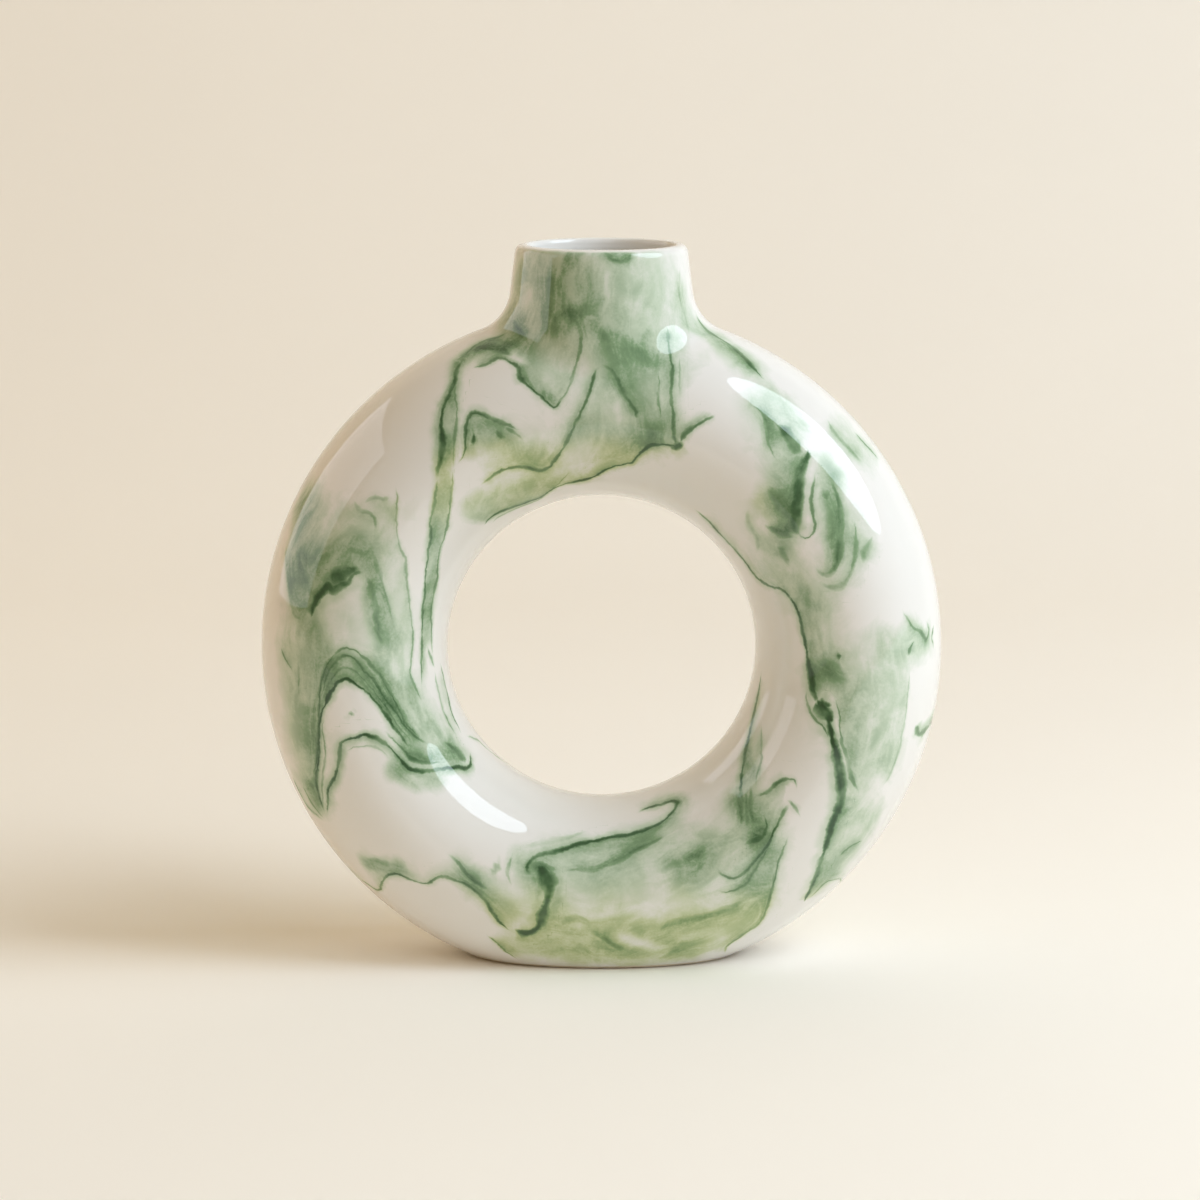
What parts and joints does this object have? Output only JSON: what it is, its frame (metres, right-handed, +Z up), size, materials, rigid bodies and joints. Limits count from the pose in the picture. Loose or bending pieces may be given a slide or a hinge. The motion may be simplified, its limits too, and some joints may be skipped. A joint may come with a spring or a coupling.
{
  "type": "ring vase",
  "caption": "Hollow ceramic ring vase with a short flared neck and a flat sliced foot, holding water and flower stems.",
  "frame": {"origin": "middle of the standing plane, under the middle of the ring", "axes": "+Z up through the neck, +Y along the axis of the ring's hole, away from the viewer, +X to the right"},
  "size_m": [0.19, 0.06, 0.2],
  "materials": {
    "marbled_glaze": "gloss",
    "liner_glaze": "gloss",
    "slip": "satin",
    "bare_clay": "matte"
  },
  "bodies": {
    "root": {"ring_front_half": "marbled_glaze", "ring_rear_half": "marbled_glaze", "neck_collar": "marbled_glaze", "foot": "bare_clay", "outer_seam": "slip", "hole_seam": "slip", "neck_seam": "slip", "foot_seam": "slip", "liner_glaze": "liner_glaze"}
  },
  "joints": []
}
